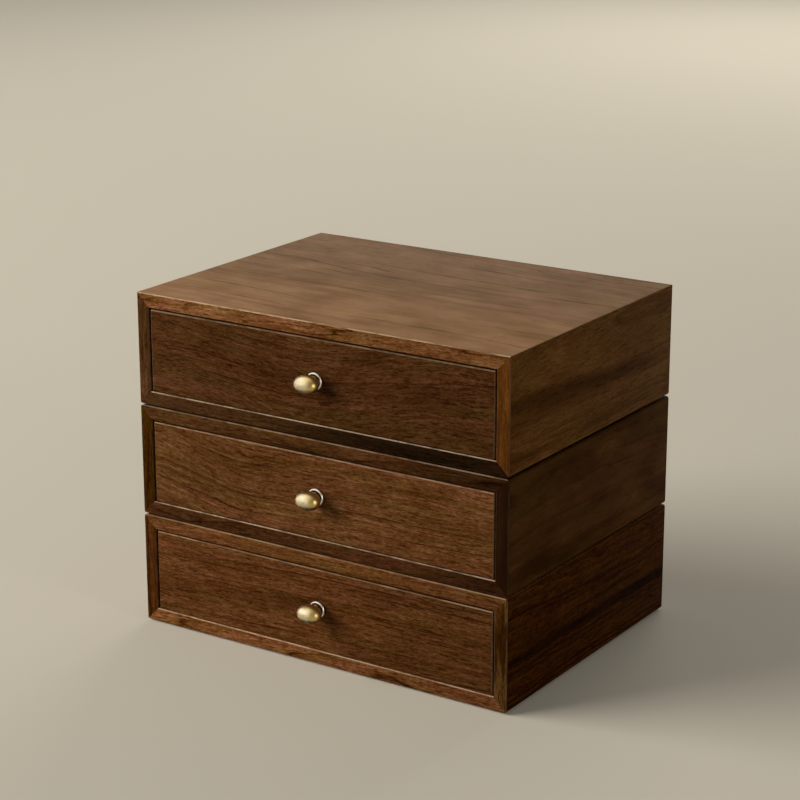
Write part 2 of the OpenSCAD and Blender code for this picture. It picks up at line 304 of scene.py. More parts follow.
    # One shade for all the figure; the darker it is, the redder the wood
    shade = bench.math("MAXIMUM", bench.math("MULTIPLY", ring, g["Rings"]),
                       bench.math("MULTIPLY", line, g["Lines"]))
    shade = bench.math("MAXIMUM", shade, bench.math("MULTIPLY", streak, g["Streaks"]))
    shade = bench.math("SUBTRACT", 1.0, bench.math("MULTIPLY", shade, g["Depth"]))
    shade = bench.math("MULTIPLY", shade, bench.math("MULTIPLY_ADD", mottle, g["Mottle"], 1.0))
    shade = bench.math("MULTIPLY", shade, bench.math("MULTIPLY_ADD", fibre, g["Fibre"], 1.0))
    shade = bench.math("MULTIPLY", shade, bench.math(
        "SUBTRACT", 1.0, bench.math("MULTIPLY", pore, g["Pores"])))
    shade = bench.math("MAXIMUM", shade, DARKEST)
    green = bench.math("MULTIPLY_ADD", g["Warmth"], 0.32, 1.0)
    blue = bench.math("MULTIPLY_ADD", g["Warmth"], 1.0, 1.0)
    shades = bench.node("ShaderNodeCombineXYZ", {
        0: shade, 1: bench.math("POWER", shade, green), 2: bench.math("POWER", shade, blue)})
    olive = bench.math("MULTIPLY", bench.math("MAXIMUM", band, line), g["Hue"])
    tone = bench.mix(olive, g["Wood"], g["Hue colour"])
    tone = bench.vector("MULTIPLY", tone, shades.outputs[0])

    height = bench.math("MULTIPLY_ADD", fibre, 0.5, bench.math("MULTIPLY", pore, -0.8))
    gloss = bench.math("MULTIPLY_ADD", pore, 0.2, g["Roughness"])
    gloss = bench.math("MULTIPLY_ADD", mottle, 0.12, gloss)
    bench.set(out.inputs["Colour"], tone)
    bench.set(out.inputs["Height"], height)
    bench.set(out.inputs["Roughness"], gloss)
    return bench.tree


# Rotation that brings each grain direction to X
GRAIN = {
    "X": (0.0, 0.0, 0.0),
    "Y": (0.0, 0.0, -math.pi / 2),
    "Z": (0.0, math.pi / 2, 0.0),
}


def grain_frame(bench, coordinates, grain, pith, tilt):
    """Object coordinates seen from the pith of the log that the board was sawn from."""
    turn = Euler(GRAIN[grain]).to_matrix()
    lean = Euler((0.0, tilt[0], tilt[1])).to_matrix()
    whole = (lean @ turn).to_euler()
    centre = lean @ (turn @ Vector(pith))
    return bench.node("ShaderNodeMapping", {
        "Vector": coordinates, "Rotation": whole, "Location": -centre}, vector_type="POINT"
    ).outputs[0]


# Figure of plain walnut, by the inputs of the solid wood
WOOD_LOOK = {
    "Ring spacing": 0.0042, "Wander": 0.02, "Ripple": 1.2, "Rings": 0.50, "Lines": 1.05,
    "Streaks": 0.35, "Hue": 0.85, "Mottle": 0.8, "Fibre": 4.2, "Pores": 0.5, "Depth": 0.70,
    "Warmth": 1.0, "Roughness": 0.45,
}
# The second hue of walnut, against its first: a little darker, and olive
OLIVE_SHARE = 0.90
OLIVE = (0.87, 1.03, 0.66)
# How deep behind a board's front the figure of its front edge gives way to the body's
LIP_START = 0.0006
LIP_END = 0.0008
# Height of the figure in the surface, and its wax where arrises are rubbed
FIGURE_BUMP = 0.25
FIGURE_HEIGHT = 0.0003
ARRIS_WAX = 0.35
WAX_ROUGHNESS = 0.36
# How pale the arrises are made, by wear and a painted highlight, and their colour
WEAR_AND_HIGHLIGHT = 0.6
WORN_AND_HIGHLIGHT_TONE = (0.58, 0.42, 0.27)


def shaded(colour, share, hue=(1.0, 1.0, 1.0)):
    """The colour at a share of its strength, turned towards a hue."""
    return [c * share * h for c, h in zip(colour, hue)]


def worn_and_highlit_arris_group():
    """Pale, dry wood where hands and dusting have worn an arris, and a painted highlight where it
    catches the light.
    """
    name = "Worn arris"
    if name in bpy.data.node_groups:
        return bpy.data.node_groups[name]
    value, colour = "NodeSocketFloat", "NodeSocketColor"
    bench, given, out = new_group(name, [
        ("Vector", "NodeSocketVector", None), ("Colour", colour, (0.1, 0.05, 0.02, 1)),
        ("Worn and highlight colour", colour, (0.3, 0.2, 0.1, 1)), ("Arris", value, 0.0),
        ("Wear and highlight", value, 0.6),
    ], [("Colour", colour)])
    g = given.outputs
    breaks = bench.noise(bench.vector("MULTIPLY", g["Vector"], (55.0, 55.0, 55.0)), 4.0, 0.65)
    breaks = bench.step(breaks.outputs["Fac"], 0.38, 0.60, 0.30, 1.0)
    wear_and_highlight = bench.math("MULTIPLY", g["Arris"], bench.math("MULTIPLY", g["Wear and highlight"], breaks))
    bench.set(out.inputs["Colour"], bench.mix(wear_and_highlight, g["Colour"], g["Worn and highlight colour"]))
    return bench.tree


def wood_material(name, tone, grain, pith, seed, tilt=(0.02, 0.03), lip=None, level=0.03,
                  fall=None, dip=None, coarse_lip=False, **look):
    """Finished timber of one board.

    pith is where the middle of its log lay, seed picks the log and tilt leans it,
    lip = (front y, grain, tone) is the front edge, with a grain and a tone of its own,
    coarse_lip gives the front edge the plain walnut figure in place of the body's,
    level is the strength of the shine,
    fall = (axis, start, end, share) lets the tone fall to a share of itself between two places,
    dip = (centre, width, amount) bends the figure down at one place along the grain, and
    the rest takes the place of values in WOOD_LOOK.
    """
    material, bench = new_material(name)
    place = bench.node("ShaderNodeTexCoord").outputs["Object"]
    where = bench.node("ShaderNodeSeparateXYZ", {0: place}).outputs
    look = {**WOOD_LOOK, **{key.replace("_", " ").capitalize(): v for key, v in look.items()}}
    figure = place
    if dip:
        centre, width, amount = dip
        away = bench.math("SUBTRACT", where[0 if grain == "X" else 1], centre)
        away = bench.math("ABSOLUTE", away)
        drop = bench.node("ShaderNodeCombineXYZ", {
            2: bench.step(away, 0.0, width, amount, 0.0)}).outputs[0]
        figure = bench.vector("ADD", place, drop)

    def timber(grain, tone, seed, figure, look):
        made = bench.node("ShaderNodeGroup", node_tree=solid_wood_group())
        colours = {"Wood": tone, "Hue colour": shaded(tone, OLIVE_SHARE, OLIVE)}
        for key, value in {**look, "Seed": seed}.items():
            bench.set(made.inputs[key], value)
        for key, value in colours.items():
            bench.set(made.inputs[key], [*value, 1.0])
        bench.set(made.inputs["Vector"], grain_frame(bench, figure, grain, pith, tilt))
        return made.outputs

    body = timber(grain, tone, seed, figure, look)
    colour, height, gloss = body["Colour"], body["Height"], body["Roughness"]
    if lip:
        edge_y, edge_grain, edge_tone = lip
        lipping = timber(edge_grain, edge_tone, seed + 7.7, place,
                         {**look, **(WOOD_LOOK if coarse_lip else {})})
        front = bench.step(where[1], edge_y + LIP_START, edge_y + LIP_END, 1.0, 0.0)
        colour = bench.mix(front, colour, lipping["Colour"])
    # Painted shade: a fall that darkens a board towards its right stands for light falling off
    # across it, laid over the wood's own tone
    if fall:
        axis, start, end, share = fall
        colour = bench.vector("SCALE", colour)
        bench.set(colour.node.inputs["Scale"], bench.step(where[axis], start, end, 1.0, share))
    # Arrises go towards a pale colour: wear, and a painted highlight
    arris = bench.node("ShaderNodeAttribute", attribute_name="arris").outputs["Fac"]
    wax = bench.math("MULTIPLY", arris, ARRIS_WAX)
    wear_and_highlight = bench.node("ShaderNodeGroup", node_tree=worn_and_highlit_arris_group())
    for key, value in {"Vector": place, "Colour": colour, "Worn and highlight colour": (*WORN_AND_HIGHLIGHT_TONE, 1.0),
                       "Arris": arris, "Wear and highlight": WEAR_AND_HIGHLIGHT}.items():
        bench.set(wear_and_highlight.inputs[key], value)
    normal = bench.node("ShaderNodeBump", {
        "Strength": FIGURE_BUMP, "Distance": FIGURE_HEIGHT, "Height": height}).outputs[0]
    shader = bench.node("ShaderNodeBsdfPrincipled", {
        "Base Color": wear_and_highlight.outputs[0], "Roughness": gloss, "Normal": normal,
        "Specular IOR Level": level, "Coat Weight": wax, "Coat Roughness": WAX_ROUGHNESS})
    bench.node("ShaderNodeOutputMaterial", {"Surface": shader.outputs[0]})
    return material


def worn_metal_group():
    """Fine turning marks and soft dull patches on metal."""
    name = "Worn metal"
    if name in bpy.data.node_groups:
        return bpy.data.node_groups[name]
    value, colour = "NodeSocketFloat", "NodeSocketColor"
    bench, given, out = new_group(name, [
        ("Vector", "NodeSocketVector", None), ("Metal", colour, (0.8, 0.6, 0.3, 1)),
        ("Dulled and shaded", colour, (0.4, 0.3, 0.1, 1)), ("Dullness", value, 0.3),
        ("Polished and highlit", colour, (0.9, 0.8, 0.6, 1)), ("Polish and highlight", value, 0.0),
        ("Patina and shade", value, 0.0), ("Roughness", value, 0.3),
    ], [("Colour", colour), ("Height", value), ("Roughness", value)])
    g = given.outputs
    patches = bench.noise(bench.vector("MULTIPLY", g["Vector"], (170.0, 170.0, 170.0)), 4.0, 0.6)
    patches = bench.step(patches.outputs["Fac"], 0.35, 0.75)
    marks = bench.noise(bench.vector("MULTIPLY", g["Vector"], (2600.0, 420.0, 2600.0)), 2.0)
    marks = bench.math("SUBTRACT", marks.outputs["Fac"], 0.5)
    dull = bench.math("MULTIPLY", patches, g["Dullness"])
    # Painted shade: the patina mark darkens the metal with tarnish and with painted shade under
    # the knob and in its hollows
    dull = bench.math("MAXIMUM", dull, bench.math("MULTIPLY", g["Patina and shade"], bench.math(
        "MULTIPLY_ADD", patches, 0.4, 0.7)), clamp=True)
    # Painted highlight: the polish mark makes the metal pale with polish and with a painted
    # highlight
    rubbed = bench.mix(g["Polish and highlight"], g["Metal"], g["Polished and highlit"])
    bench.set(out.inputs["Colour"], bench.mix(dull, rubbed, g["Dulled and shaded"]))
    bench.set(out.inputs["Height"], marks)
    gloss = bench.math("MULTIPLY_ADD", patches, 0.12, g["Roughness"])
    bench.set(out.inputs["Roughness"], bench.math("MULTIPLY_ADD", marks, 0.10, gloss))
    return bench.tree


def metal_material(name, metal, dulled, roughness, dullness=0.35, polished=None):
    """Turned metal, darkened by tarnish and painted shade where its first mark says so, and made
    pale by polish and a painted highlight where its second mark says so.
    """
    material, bench = new_material(name)
    place = bench.node("ShaderNodeTexCoord").outputs["Object"]
    worn = bench.node("ShaderNodeGroup", node_tree=worn_metal_group())
    patina_and_shade = bench.node("ShaderNodeAttribute", attribute_name="patina_and_shade").outputs["Fac"]
    polish_and_highlight = bench.node("ShaderNodeAttribute", attribute_name="polish_and_highlight").outputs["Fac"]
    for key, value in {"Patina and shade": patina_and_shade, "Polish and highlight": polish_and_highlight, "Vector": place,
                       "Metal": (*metal, 1.0), "Polished and highlit": (*(polished or metal), 1.0),
                       "Dulled and shaded": (*dulled, 1.0), "Dullness": dullness,
                       "Roughness": roughness}.items():
        bench.set(worn.inputs[key], value)
    bump = bench.node("ShaderNodeBump", {
        "Strength": 0.12, "Distance": 0.0001, "Height": worn.outputs["Height"]})
    shader = bench.node("ShaderNodeBsdfPrincipled", {
        "Base Color": worn.outputs["Colour"], "Roughness": worn.outputs["Roughness"],
        "Metallic": 1.0, "Normal": bump.outputs[0]})
    bench.node("ShaderNodeOutputMaterial", {"Surface": shader.outputs[0]})
    return material


# --- Mesh helpers ---


def make_piece(name, mesh, material, body, slot, *nodes):
    """Links a finished mesh, hangs it on the body it rides on and hides the solids it stands for.
    """
    piece = bpy.data.objects.new(name, mesh)
    bpy.context.scene.collection.objects.link(piece)
    mesh.materials.clear()
    mesh.materials.append(material)
    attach(piece, body)
    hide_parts(*nodes)
    return piece


# Angles above which an edge is an arris of a board, and stays crisp on turned work
SHARP = math.radians(32)
CRISP = math.radians(38)
# Angle below which neighbouring faces of a solid are one flat face
FLAT = math.radians(0.4)
# Sections narrower than this are poles
POLE = 1e-7
# How much an arris is made pale, by wear and a painted highlight, by the way it faces
UPWARD = 1.0
UPRIGHT = 0.6
DOWNWARD = 0.08
# A face lies on a front arris if its normal leans from the front by this much and lies square to
# the board within the second number
ON_ARRIS = (0.2, 0.985)
SQUARE = 0.15


def board_from_solid(node, softness, rub=1.0):
    """Copy of a board's solid with whole faces, sanded arrises and a mark on its front arrises."""
    shape = bmesh.new()
    shape.from_mesh(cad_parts[node].data)
    bmesh.ops.remove_doubles(shape, verts=shape.verts, dist=1e-6)
    bmesh.ops.dissolve_limit(shape, angle_limit=FLAT, verts=shape.verts, edges=shape.edges)
    arrises = [edge for edge in shape.edges if edge.calc_face_angle(0.0) > SHARP]
    bmesh.ops.bevel(shape, geom=arrises, offset=softness, offset_type="OFFSET", segments=2,
                    profile=0.5, affect="EDGES", clamp_overlap=True)
    # The mark makes front arrises pale: wear, and a painted highlight that is strongest where they
    # face up into the light and faintest where they face down
    mark = shape.faces.layers.float.new("arris")
    for face in shape.faces:
        face.smooth = True
        side, front, up = face.normal
        if ON_ARRIS[0] < abs(front) < ON_ARRIS[1] and min(abs(side), abs(up)) < SQUARE:
            face[mark] = rub * (UPWARD if up > SQUARE else DOWNWARD if up < -SQUARE else UPRIGHT)
    for edge in shape.edges:
        edge.smooth = edge.calc_face_angle(0.0) < SHARP
    mesh = bpy.data.meshes.new(node)
    shape.to_mesh(mesh)
    shape.free()
    return mesh


def settings(name):
    return getattr(bpy.context.scene, "mini_drawers_" + name)


# --- Operators ---

# Each case board: the tone of its wood, where its log's pith lay from its middle if not at the
# usual place, how pale its arrises are made by wear and a painted highlight, and its figure.
# The tones hold painted light too: a painted sheen on the top, and painted shade where the right
# sides darken down the stack and where boards fall darker towards the right
USUAL_PITH = (0, 0.02, -0.05)
CASE_LOOK = {
    # Painted sheen: the top's pale, greyish tone holds light reflected off it as well as the
    # walnut's own tone
    "upper_case_top": dict(
        tone=(0.287, 0.150, 0.081), pith=(0, 0.16, -0.06), seed=3.1, rub=1.0,
        lip=(0.2116, 0.0854, 0.0372), coarse_lip=True, level=0.01, fall=(1, -0.09, 0.05, 0.76),
        hue=0.6, streaks=0.45, rings=0.14, lines=1.0, fibre=0.45, pores=0.08, mottle=1.0,
        ring_spacing=0.011, ripple=0.7, wander=0.03, depth=0.50, warmth=0.6),
    "upper_case_bottom": dict(
        # Painted shade: this rail falls to about a third of its tone towards the right
        tone=(0.0503, 0.0208, 0.00637), seed=8.3, fall=(0, -0.06, 0.06, 0.36)),
    "upper_case_left": dict(
        tone=(0.095, 0.037, 0.012), pith=(-0.05, 0, 0.02), seed=4.4, rub=0.2,
        lip=(0.0913, 0.0356, 0.0149)),
    "upper_case_right": dict(
        tone=(0.1123, 0.0473, 0.0116), pith=(-0.03, 0, 0.03), seed=6.2, rub=0.2,
        lip=(0.0965, 0.0325, 0.00616), level=0.015, streaks=0.75, hue=0.5, lines=0.6, rings=0.4,
        fibre=2.2, pores=0.3),
    # Painted shade: the middle rails fall darker towards the right
    "middle_case_top": dict(
        tone=(0.0780, 0.0291, 0.00919), seed=11.0, fall=(0, 0.02, 0.12, 0.55)),
    "middle_case_bottom": dict(
        tone=(0.0633, 0.0212, 0.00739), seed=12.6, fall=(0, 0.06, 0.14, 0.6)),
    "middle_case_left": dict(
        tone=(0.080, 0.030, 0.009), pith=(-0.05, 0, 0.02), seed=13.9, rub=0.15,
        lip=(0.0637, 0.0228, 0.00023)),
    # Painted shade: this side and its front edge are much darker than the upper box's, for the
    # light falling off down the stack
    "middle_case_right": dict(
        tone=(0.0585, 0.0226, 0.00526), pith=(-0.10, 0, 0.06), seed=15.5, rub=0.15,
        lip=(0.0196, 0.00629, 0.00235), level=0.01, fall=(1, -0.06, 0.06, 1.29), rings=0.3,
        lines=0.4, fibre=1.0, pores=0.15, streaks=0.6, mottle=1.5),
    "lower_case_top": dict(
        tone=(0.1419, 0.0534, 0.0180), seed=17.2, fall=(0, 0.05, 0.14, 0.85)),
    "lower_case_bottom": dict(
        tone=(0.1790, 0.0673, 0.0256), seed=19.4, fall=(0, -0.05, 0.14, 0.85)),
    "lower_case_left": dict(
        tone=(0.089, 0.033, 0.010), pith=(-0.05, 0, 0.02), seed=21.7, rub=0.2,
        lip=(0.0882, 0.0252, 0.00531)),
    # Painted shade: the lowest right side is darker still, for the light falling off down the
    # stack
    "lower_case_right": dict(
        tone=(0.0502, 0.0143, 0.00068), pith=(-0.03, 0, 0.05), seed=23.3, rub=0.2,
        lip=(0.0742, 0.0325, 0.00824), level=0.01, fall=(1, -0.06, 0.06, 1.22), rings=0.8,
        lines=1.0, streaks=1.0, depth=0.8, ring_spacing=0.0036),
}


class MINIDRAWERS_OT_case_boards(bpy.types.Operator):
    """Dress the twelve mitred case boards"""

    bl_idname = "mini_drawers.case_boards"
    bl_label = "Case boards"

    def execute(self, context):
        walnut = settings("walnut")
        for node, look in CASE_LOOK.items():
            look = dict(look)
            low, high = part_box(node)
            lip = look.pop("lip", None)
            # Bottom rails get paler arrises than the rest, for a painted highlight on their upward
            # inner arris
            rub = look.pop("rub", 0.9 if node.endswith("bottom") else 0.5)
            pith = (low + high) / 2 + Vector(look.pop("pith", USUAL_PITH))
            upright = not node.endswith(("top", "bottom"))
            material = wood_material(
                "Walnut " + node.replace("_", " "), grain="Y" if upright else "X", pith=pith,
                lip=(low.y, "Z" if upright else "X", lip) if lip else None, **look)
            make_piece(node + "_board", board_from_solid(node, walnut.softness, rub), material,
                       node.split("_")[0] + "_case", "walnut_case", node)
        return {"FINISHED"}


# Each drawer front, in the same way; a front's fall across its width is partly painted light
# falling off to the right, partly the wood's own tone
FRONT_LOOK = {
    "upper": dict(
        tone=(0.0823, 0.0303, 0.0104), pith=(0, 0.05, -0.05), seed=31.0, rub=0.38,
        fall=(0, 0.0, 0.07, 0.90), dip=(-0.005, 0.120, 0.013), wander=0.010),
    "middle": dict(
        tone=(0.1267, 0.0491, 0.0184), pith=(0, 0.04, -0.06), seed=34.0,
        fall=(0, -0.08, 0.06, 1.10), dip=(-0.160, 0.11, -0.018)),
    "lower": dict(
        tone=(0.1187, 0.0429, 0.0145), pith=(0, 0.03, -0.07), seed=38.0,
        fall=(0, -0.02, 0.09, 0.83), lines=1.0, wander=0.008, ripple=0.8, ring_spacing=0.0048),
}


class MINIDRAWERS_OT_drawer_fronts(bpy.types.Operator):
    """Dress the three drawer fronts"""

    bl_idname = "mini_drawers.drawer_fronts"
    bl_label = "Drawer fronts"

    def execute(self, context):
        walnut = settings("walnut")
        for level in LEVELS:
            node = level + "_drawer_front"
            low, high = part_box(node)
            look = dict(FRONT_LOOK[level])
            rub = look.pop("rub", 0.6)
            pith = (low + high) / 2 + Vector(look.pop("pith"))
            material = wood_material("Walnut " + level + " drawer front", grain="X", pith=pith,
                                     **look)
            make_piece(node + "_board", board_from_solid(node, walnut.softness, rub), material,
                       level + "_drawer", "walnut_front", node)
        return {"FINISHED"}


def turned_shape(sections, turn=48, forward=False):
    """Closed shape through (distance, half width, half height) sections, from pole to pole.

    The distance is measured up Z, or along -Y where the shape points forward.
    """
    shape = bmesh.new()
    loops = []
    for distance, half_w, half_h in sections:
        loop = []
        for i in range(turn if half_w > POLE else 1):
            across = half_w * math.cos(math.tau * i / turn)
            beyond = half_h * math.sin(math.tau * i / turn)
            loop.append(shape.verts.new(
                (across, -distance, beyond) if forward else (across, beyond, distance)))
        loops.append(loop)
    for near, far in zip(loops, loops[1:]):
        for i in range(turn):
            j = (i + 1) % turn
            corners = [near[i % len(near)], near[j % len(near)], far[j % len(far)],
                       far[i % len(far)]]
            shape.faces.new(list(dict.fromkeys(corners)))
    bmesh.ops.recalc_face_normals(shape, faces=shape.faces)
    for face in shape.faces:
        face.smooth = True
    return shape


def turned_mesh(shape, name, centre=(0.0, 0.0, 0.0)):
    """Mesh of a turned shape, with its sharper edges kept crisp."""
    for edge in shape.edges:
        edge.smooth = edge.calc_face_angle(0.0) < CRISP
    bmesh.ops.translate(shape, verts=shape.verts, vec=centre)
    mesh = bpy.data.meshes.new(name)
    shape.to_mesh(mesh)
    shape.free()
    return mesh


def turned_fixing(name, sections, turn):
    """Object turned about Z from (radius, height) sections that start and end on the axis."""
    shape = turned_shape([(height, radius, radius) for radius, height in sections], turn)
    made = bpy.data.objects.new(name, turned_mesh(shape, name))
    bpy.context.scene.collection.objects.link(made)
    return made


def clamped(value):
    return min(1.0, max(0.0, value))


def eased(value):
    """Smooth step of a value between 0 and 1."""
    value = clamped(value)
    return value * value * (3.0 - 2.0 * value)


# Slope and start of each mark on the oval, over its half sizes: the underside and the rear,
# darkened with tarnish and painted shade, and the end at the front and left, made pale with polish
# and a painted highlight, with how much of each way counts
UNDERSIDE = (-2.2, -0.15)
REAR = (2.6, -1.9)
BRIGHT = (1.6, -0.25)
BRIGHT_WAY = (-0.5, -0.8)


def gather_patina_shade_and_highlight(shape, middle, half_w, half_h):
    """Marks tarnish and painted shade under the oval and down its neck, and polish with a painted
    highlight at its front and left end.
    """
    mark = shape.verts.layers.float.new("patina_and_shade")
    polish_and_highlight = shape.verts.layers.float.new("polish_and_highlight")
    for vert in shape.verts:
        side, back, up = vert.co.x / half_w, (vert.co.y + middle) / half_h, vert.co.z / half_h
        ahead = BRIGHT_WAY[1] * back + BRIGHT_WAY[0] * side
        vert[mark] = max(eased(UNDERSIDE[0] * up + UNDERSIDE[1]),
                         clamped(REAR[0] * back + REAR[1]))
        vert[polish_and_highlight] = eased(BRIGHT[0] * ahead + BRIGHT[1])


def darken_dish_with_tarnish_and_shade(shape, radius):
    """Marks the rosette's dish, inside its bead, for tarnish where no cloth reaches and for
    painted shade.
    """
    mark = shape.verts.layers.float.new("patina_and_shade")
    for vert in shape.verts:
        vert[mark] = 1.0 if math.hypot(vert.co.x, vert.co.z) < radius else 0.0


# The oval: how full its width and height are (1 is an ellipse), how much longer its rear half is,
# and the angle from its front pole at which the fillet takes over
FULL_WIDTH = 0.90
FULL_HEIGHT = 0.92
REAR_LENGTH = 1.15
OVAL_END = math.radians(148)
# The neck: radii at its waist and at its foot, the straight before the foot and the foot's edge
WAIST = 3.1 * MM
FOOT = 3.8 * MM
STRAIGHT = 0.8 * MM
FOOT_EDGE = 0.15 * MM
FILLET_STEPS = 8
COVE_STEPS = 10


def knob_sections(low, high, front_y, knob):
    """Sections of the oval, its fillet, its waisted neck and foot, from the front pole back."""
    half_w = (high.x - low.x) / 2
    half_h = (high.z - low.z) / 2
    reach = front_y - low.y
    centre = reach - half_h
    start = front_y - high.y
    sections = [(reach, 0.0, 0.0)]
    for i in range(1, knob.rings + 1):
        a = OVAL_END * i / knob.rings
        deep = half_h if a < math.pi / 2 else REAR_LENGTH * half_h
        sections.append((centre + deep * math.cos(a), half_w * math.sin(a) ** FULL_WIDTH,
                         half_h * math.sin(a) ** FULL_HEIGHT))
    end, end_w, end_h = sections[-1]
    # The fillet draws the oval's last section in to the round waist
    neck = end - knob.fillet
    for i in range(1, FILLET_STEPS + 1):
        turn = i / FILLET_STEPS * math.pi / 2
        ease = math.sin(turn)
        sections.append((end - (end - neck) * (1 - math.cos(turn)),
                         end_w + (WAIST - end_w) * ease, end_h + (WAIST - end_h) * ease))
    cove = neck - start - STRAIGHT
    for i in range(1, COVE_STEPS + 1):
        t = i / COVE_STEPS
        flare = WAIST + (FOOT - WAIST) * (1 - math.sqrt(max(0.0, 1 - t * t)))
        sections.append((neck - cove * t, flare, flare))
    sections.append((start + FOOT_EDGE, FOOT, FOOT))
    sections.append((start, FOOT - FOOT_EDGE, FOOT - FOOT_EDGE))
    sections.append((start, 0.0, 0.0))
    return sections


# The bead is turned nearly three quarters of the way round, down to the dish inside it
BEAD_TURN = 1.47 * math.pi
BEAD_STEPS = 23
# Share of the bead's radius by which the darkening of the dish, tarnish and painted shade, climbs
# its inner side
DISH_CLIMB = 0.75


def rosette_sections(rim, bead):
    """Sections of the flat back, the round bead and the dish inside it, from the back forward."""
    sections = [(0.0, 0.0, 0.0), (0.0, rim - bead, rim - bead)]
    for i in range(1, BEAD_STEPS + 1):
        a = BEAD_TURN * i / BEAD_STEPS
        radius = rim - bead + bead * math.sin(a)
        sections.append((bead - bead * math.cos(a), radius, radius))
    sections.append((sections[-1][0], 0.0, 0.0))
    return sections


class MINIDRAWERS_OT_knobs(bpy.types.Operator):
    """Turn the three oval brass knobs and their beaded rosettes"""

    bl_idname = "mini_drawers.knobs"
    bl_label = "Knobs and rosettes"

    def execute(self, context):
        brass = settings("brass")
        satin = metal_material("Satin brass", brass.colour, brass.tarnish_and_shade, 0.35,
                               polished=brass.polished)
        # The rosette's pale brass is partly a painted highlight on its bead, and its darkened dish
        # is partly painted shade
        pale = metal_material("Pale brass", brass.rosette, shaded(brass.tarnish_and_shade, 0.5), 0.34, 0.15)
        for level in LEVELS:
            knob, rosette = level + "_oval_knob", level + "_beaded_rosette"
            low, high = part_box(level + "_knob")
            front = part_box(level + "_drawer_front")[0]
            centre = Vector((0.0, front.y, (low.z + high.z) / 2))
            half_h = (high.z - low.z) / 2
            shape = turned_shape(knob_sections(low, high, front.y, settings("knob")),
                                 forward=True)
            gather_patina_shade_and_highlight(shape, front.y - low.y - half_h, (high.x - low.x) / 2, half_h)
            make_piece(knob, turned_mesh(shape, knob, centre), satin, level + "_drawer", "brass",
                       level + "_knob")
            low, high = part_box(level + "_knob_rosette")
            rim = (high.x - low.x) / 2
            bead = (high.y - low.y) / 2
            shape = turned_shape(rosette_sections(rim, bead), 64, forward=True)
            darken_dish_with_tarnish_and_shade(shape, rim - DISH_CLIMB * bead)
            make_piece(rosette, turned_mesh(shape, rosette, centre), pale, level + "_drawer",
                       "brass", level + "_knob_rosette")
        return {"FINISHED"}


DARK_PANEL = (0.135, 0.062, 0.024)
PALE_FIGURE = dict(depth=0.25, warmth=0.4, streaks=0.1, lines=0.4, pores=0.12, fibre=0.7,
                   mottle=0.3, hue=0.3)


class MINIDRAWERS_OT_drawer_boxes(bpy.types.Operator):
    """Dress the drawer sides, backs and bottoms, the back panels and the splines"""

    bl_idname = "mini_drawers.drawer_boxes"
    bl_label = "Drawer boxes and backs"

    def execute(self, context):
        walnut = settings("walnut")
        pale = settings("drawer_wood")
        parts = {
            "drawer_left_side": ("Y", pale.light, "drawer_wood", (-0.07, 0.0, 0.0)),
            "drawer_right_side": ("Y", pale.light, "drawer_wood", (0.06, 0.0, 0.01)),
            "drawer_back": ("X", pale.light, "drawer_wood", (0.0, 0.06, -0.01)),
            "drawer_bottom": ("X", pale.panel, "drawer_panel", (0.0, 0.02, -0.09)),
            "case_back": ("X", DARK_PANEL, "walnut_panel", (0.0, 0.05, -0.02)),
            "mitre_splines": ("Y", pale.light, "spline_wood", (0.03, 0.0, 0.05)),
        }
        for number, level in enumerate(LEVELS):
            for part, (grain, tone, slot, away) in parts.items():
                node = f"{level}_{part}"
                low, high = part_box(node)
                body = level + ("_drawer" if part.startswith("drawer") else "_case")
                look = {} if tone is DARK_PANEL else PALE_FIGURE
                material = wood_material(
                    node.replace("_", " ").capitalize(), tone, grain,
                    (low + high) / 2 + Vector(away), 51.0 + 3.7 * number + len(part), **look)
                make_piece(node + "_finish", board_from_solid(node, walnut.softness),
                           material, body, slot, node)
        return {"FINISHED"}


def rows_group():
    """Rows of one fixing on a plane: a grid of points, one copy of the source on each."""
    name = "Rows of fixings"
    if name in bpy.data.node_groups:
        return bpy.data.node_groups[name]
    tree = bpy.data.node_groups.new(name, "GeometryNodeTree")
    tree.interface.new_socket("Geometry", in_out="OUTPUT", socket_type="NodeSocketGeometry")
    for title, kind in (("Source", "NodeSocketObject"), ("Columns", "NodeSocketInt"),
                        ("Rows", "NodeSocketInt"), ("Width", "NodeSocketFloat"),
                        ("Depth", "NodeSocketFloat"), ("Middle", "NodeSocketVector"),
                        ("Material", "NodeSocketMaterial")):
        tree.interface.new_socket(title, in_out="INPUT", socket_type=kind)
    bench = NodeBench(tree)
    given = bench.node("NodeGroupInput").outputs
    grid = bench.node("GeometryNodeMeshGrid", {
        "Size X": given["Width"], "Size Y": given["Depth"], "Vertices X": given["Columns"],
        "Vertices Y": given["Rows"]})
    placed = bench.node("GeometryNodeTransform", {
        "Geometry": grid.outputs["Mesh"], "Translation": given["Middle"]})
    points = bench.node("GeometryNodeMeshToPoints", {"Mesh": placed.outputs[0]})
    source = bench.node("GeometryNodeObjectInfo", {"Object": given["Source"]})
    copies = bench.node("GeometryNodeInstanceOnPoints", {
        "Points": points.outputs[0], "Instance": source.outputs["Geometry"]})
    real = bench.node("GeometryNodeRealizeInstances", {"Geometry": copies.outputs[0]})
    finish = bench.node("GeometryNodeSetMaterial", {
        "Geometry": real.outputs[0], "Material": given["Material"]})
    out = bench.node("NodeGroupOutput")
    bench.set(out.inputs[0], finish.outputs[0])
    return tree


